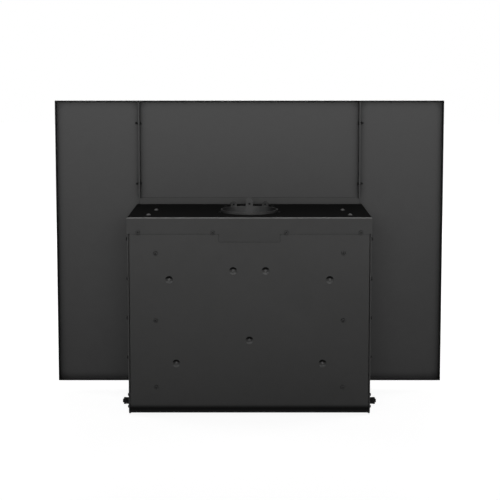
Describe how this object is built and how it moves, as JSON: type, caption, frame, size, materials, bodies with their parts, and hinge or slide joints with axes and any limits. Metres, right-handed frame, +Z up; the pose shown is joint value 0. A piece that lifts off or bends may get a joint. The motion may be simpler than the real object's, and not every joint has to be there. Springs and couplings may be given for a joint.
{
  "type": "wood fireplace insert",
  "caption": "Wood-burning fireplace insert: folded steel jacket, lined firebox, glazed door, blower, flue collar and a wide surround that covers the opening.",
  "frame": {"origin": "on the floor under the insert's centre line, in the plane of the wall that the surround meets", "axes": "+Z up, +Y into the fireplace opening towards the insert's rear, -Y out to the room, +X to the right seen from the room"},
  "size_m": [1.1176, 0.5827, 0.8412],
  "materials": {
    "painted_steel": "satin charcoal stove paint on folded sheet steel",
    "surround_steel": "satin charcoal powder coat on folded sheet steel",
    "cover_steel": "satin charcoal stove paint",
    "black_screw": "black oxide steel screws",
    "bright_screw": "zinc plated steel",
    "inner_steel": "bare folded steel, dulled",
    "firebox_steel": "welded plate with heat-resisting paint",
    "cast_black": "fine grained cast iron, satin black",
    "collar_iron": "cast iron, satin charcoal",
    "ceramic_glass": "clear glass ceramic with a faint amber tint",
    "glass_tape": "black woven glass fibre tape",
    "rope": "braided glass fibre rope",
    "clip_steel": "brushed steel clips",
    "polished_steel": "machined steel",
    "handle_steel": "satin nickel finish",
    "firebrick": "fired refractory brick, porous",
    "baffle_board": "pressed vermiculite board",
    "ceramic_wool": "white ceramic fibre blanket",
    "tube_steel": "stainless steel, heat tinted",
    "galvanised": "galvanised sheet steel",
    "motor_paint": "black enamel",
    "black_plastic": "fine textured black phenolic plastic",
    "black_rubber": "matt black rubber"
  },
  "bodies": {
    "insert": {"surround_left": "surround_steel", "surround_right": "surround_steel", "surround_top": "surround_steel", "seam_screws": "black_screw", "surround_screws": "black_screw", "rear_panel": "painted_steel", "top_cover": "cover_steel", "side_panel_left": "painted_steel", "side_panel_right": "painted_steel", "flue_collar": "collar_iron", "collar_bolts": "black_screw", "top_screws": "bright_screw", "cover_screws": "black_screw", "rear_panel_screws": "black_screw", "dimple_screws": "black_screw", "side_screws": "black_screw", "leveller_clamp_bolts": "black_screw", "leveller_brackets": "inner_steel", "spacer_studs": "inner_steel", "rear_rails": "inner_steel", "firebox_shell": "firebox_steel", "front_plate": "firebox_steel", "face_flange": "firebox_steel", "cheek_left": "cast_black", "cheek_right": "cast_black", "front_hood": "firebox_steel", "outlet_louvre": "cast_black", "ash_lip": "cast_black", "base_pan": "inner_steel", "hinge_pins": "polished_steel", "hinge_brackets": "cast_black", "latch_strike": "polished_steel", "brick_floor": "firebrick", "brick_sides": "firebrick", "brick_rear": "firebrick", "baffle_boards": "baffle_board", "baffle_blanket": "ceramic_wool", "air_tubes": "tube_steel", "air_manifold": "firebox_steel", "log_retainer": "cast_black", "air_box": "inner_steel", "blower_housing": "galvanised", "blower_motor": "motor_paint", "blower_grille": "cast_black", "blower_controls": "black_plastic", "power_inlet": "black_rubber"},
    "door": {"door_frame": "cast_black", "door_glass": "ceramic_glass", "glass_gasket": "glass_tape", "glass_retainers": "clip_steel", "rope_gasket": "rope"},
    "latch": {"door_handle": "handle_steel", "latch_cam": "polished_steel"},
    "air_control": {"air_rod": "handle_steel", "air_damper": "tube_steel"},
    "blower_rotor": {"motor_shaft": "polished_steel", "impellers": "galvanised"},
    "speed_dial": {"speed_knob": "black_plastic"},
    "levelling_left": {"leveller_left": "polished_steel"},
    "levelling_right": {"leveller_right": "polished_steel"}
  },
  "joints": [
    {"name": "door_hinge", "type": "hinge", "parent": "insert", "child": "door", "pos_m": [-0.264, -0.233, 0.291], "axis": [0, 0, -1], "range_deg": [0, 120]},
    {"name": "latch_turn", "type": "hinge", "parent": "door", "child": "latch", "pos_m": [0.236, -0.243, 0.291], "axis": [0, 1, 0], "range_deg": [0, 90]},
    {"name": "air_slide", "type": "slide", "parent": "insert", "child": "air_control", "axis": [0, -1, 0], "range_m": [0, 0.045]},
    {"name": "blower_spin", "type": "hinge", "parent": "insert", "child": "blower_rotor", "pos_m": [0, -0.158, 0.046], "axis": [1, 0, 0], "continuous": true},
    {"name": "speed_turn", "type": "hinge", "parent": "insert", "child": "speed_dial", "pos_m": [0.242, -0.215, 0.046], "axis": [0, 1, 0], "range_deg": [0, 270]},
    {"name": "left_levelling", "type": "slide", "parent": "insert", "child": "levelling_left", "axis": [0, 0, -1], "range_m": [0, 0.02]},
    {"name": "right_levelling", "type": "slide", "parent": "insert", "child": "levelling_right", "axis": [0, 0, -1], "range_m": [0, 0.02]}
  ]
}
